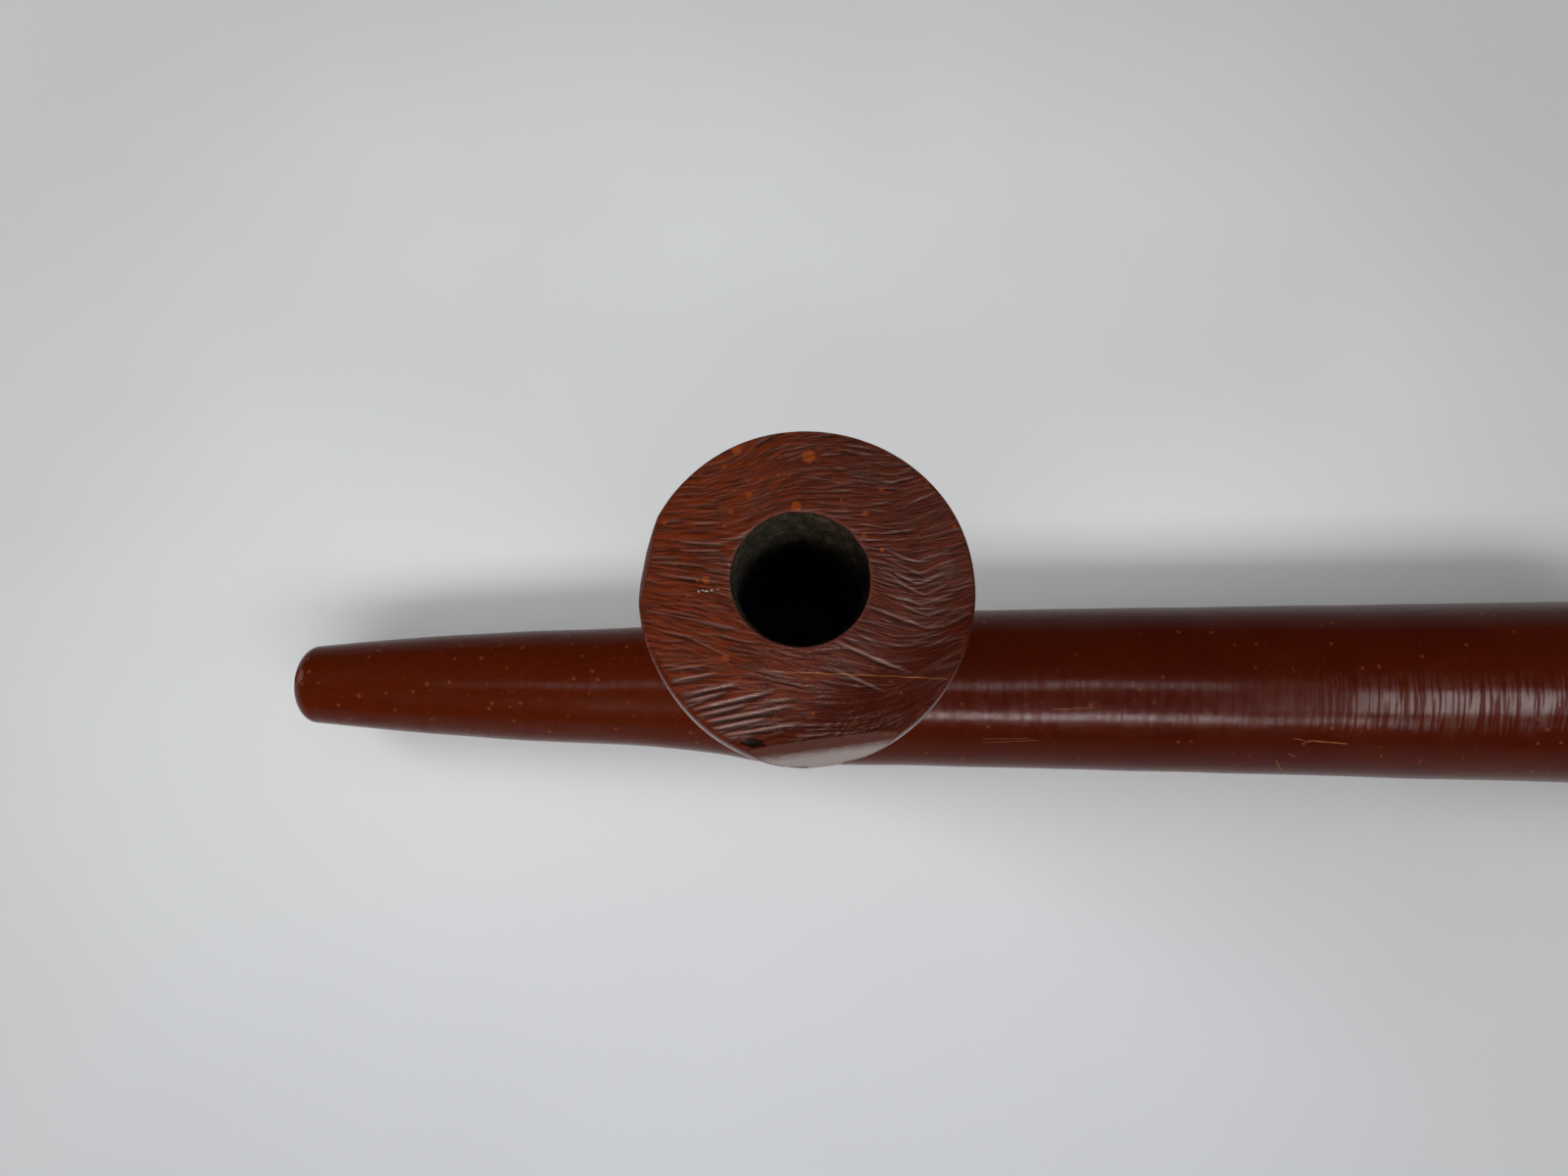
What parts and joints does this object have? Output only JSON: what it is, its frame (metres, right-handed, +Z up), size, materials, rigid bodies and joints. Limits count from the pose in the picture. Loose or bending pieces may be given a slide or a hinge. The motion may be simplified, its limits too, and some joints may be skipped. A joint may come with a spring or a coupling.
{
  "type": "tobacco pipe",
  "caption": "T-shaped carved red stone tobacco pipe: upright tapered bowl with a charred bore, blunt prow, long shank and a pull-out wooden stem on a leather gasket.",
  "frame": {"origin": "on the flat filed along the underside of the shank, below the bowl's outer axis", "axes": "+Z up along the bowl, +X along the shank towards the stem's mouth end, the prow towards -X"},
  "size_m": [0.5629, 0.0392, 0.0883],
  "materials": {
    "red_stone": "hand polished, with file marks on the rim",
    "carbon": "matt, crusted",
    "gasket_leather": "matt, raw edge",
    "stem_wood": "oiled"
  },
  "bodies": {
    "head": {"pipe_head": "red_stone", "carbon_lining": "carbon"},
    "stem_assembly": {"stem": "stem_wood", "tenon_gasket": "gasket_leather"}
  },
  "joints": [
    {"name": "stem_pull", "type": "slide", "parent": "head", "child": "stem_assembly", "axis": [1, 0, 0], "range_m": [0, 0.045]}
  ]
}
